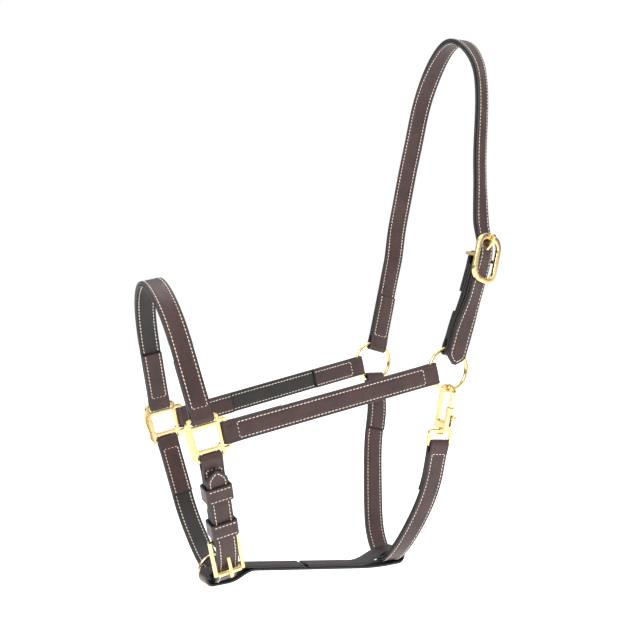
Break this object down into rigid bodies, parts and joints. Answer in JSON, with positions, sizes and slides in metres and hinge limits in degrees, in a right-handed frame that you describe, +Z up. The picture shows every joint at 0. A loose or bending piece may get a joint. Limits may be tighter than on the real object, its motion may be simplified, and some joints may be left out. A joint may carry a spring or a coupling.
{
  "type": "leather headcollar",
  "caption": "Leather headcollar for a horse: stitched straps on rings and squares, buckled at the poll and chin, with a jaw strap and a snap at the throat.",
  "frame": {"origin": "middle of the crown strap's underside, where it bears on the poll", "axes": "+Z up, -X towards the nose, -Y towards the horse's left (near) side"},
  "size_m": [0.381, 0.216, 0.6023],
  "materials": {
    "leather": "dark havana bridle leather, waxed, cream saddle stitching",
    "brass": "polished",
    "rose_brass": "polished, slightly redder",
    "spring_steel": "bright wire"
  },
  "bodies": {
    "root": {"crown_strap": "leather", "crown_lining": "leather", "crown_buckle_chape": "leather", "crown_chape_lining": "leather", "crown_buckle_frame": "brass"},
    "crown_tongue": {"crown_buckle_tongue": "brass"},
    "near_ring": {"near_ring": "brass"},
    "far_ring": {"far_ring": "brass"},
    "front_section": {"near_cheek_strap": "leather", "near_cheek_lining": "leather", "far_cheek_strap": "leather", "far_cheek_lining": "leather", "near_square": "brass", "far_square": "brass", "noseband": "leather", "noseband_lining": "leather", "chin_strap": "leather", "chin_lining": "leather", "chin_buckle_chape": "leather", "chin_chape_lining": "leather", "fixed_keeper": "leather", "chin_buckle_frame": "brass", "jaw_strap": "leather", "throat_strap": "leather", "throat_lining": "leather", "snap_eye": "brass"},
    "chin_tongue": {"chin_buckle_tongue": "brass"},
    "chin_roller": {"chin_buckle_roller": "brass"},
    "chin_keeper": {"sliding_keeper": "leather"},
    "lead_ring": {"lead_ring": "rose_brass"},
    "snap": {"snap_body": "brass"},
    "snap_bolt": {"snap_bolt": "brass", "snap_spring": "spring_steel"}
  },
  "joints": [
    {"name": "front_section_fold", "type": "hinge", "parent": "root", "child": "front_section", "pos_m": [-0.06, 0, -0.37], "axis": [0, 1, 0], "range_deg": [-45, 30]},
    {"name": "near_ring_spin", "type": "hinge", "parent": "root", "child": "near_ring", "pos_m": [-0.06, -0.086, -0.37], "axis": [0, 1, 0], "continuous": true},
    {"name": "far_ring_spin", "type": "hinge", "parent": "root", "child": "far_ring", "pos_m": [-0.06, 0.086, -0.37], "axis": [0, 1, 0], "continuous": true},
    {"name": "crown_tongue_lift", "type": "hinge", "parent": "root", "child": "crown_tongue", "pos_m": [-0.02861, -0.09392, -0.25119], "axis": [0.9063, 0.3671, -0.2096], "range_deg": [0, 25]},
    {"name": "chin_tongue_lift", "type": "hinge", "parent": "front_section", "child": "chin_tongue", "pos_m": [-0.3008, -0.05695, -0.53332], "axis": [-0.9751, 0, -0.2215], "range_deg": [0, 25]},
    {"name": "chin_roller_spin", "type": "hinge", "parent": "front_section", "child": "chin_roller", "pos_m": [-0.29342, -0.05469, -0.56579], "axis": [-0.9751, 0, -0.2215], "continuous": true},
    {"name": "keeper_slide", "type": "slide", "parent": "front_section", "child": "chin_keeper", "axis": [0.2163, 0.2164, -0.952], "range_m": [-0.015, 0.018]},
    {"name": "lead_ring_swing", "type": "hinge", "parent": "front_section", "child": "lead_ring", "pos_m": [-0.29323, 0.005, -0.56666], "axis": [0.9751, 0, 0.2215], "range_deg": [-14, 40]},
    {"name": "snap_swivel", "type": "hinge", "parent": "front_section", "child": "snap", "pos_m": [-0.06, -0.086, -0.3922], "axis": [0.0575, -0.2415, 0.9687], "range_deg": [-36, 2]},
    {"name": "snap_bolt_slide", "type": "slide", "parent": "snap", "child": "snap_bolt", "axis": [-0.0575, 0.2415, -0.9687], "range_m": [0, 0.008], "stiffness_N_per_m": 300, "springref_m": -0.004, "deforming": ["snap_spring"]}
  ]
}
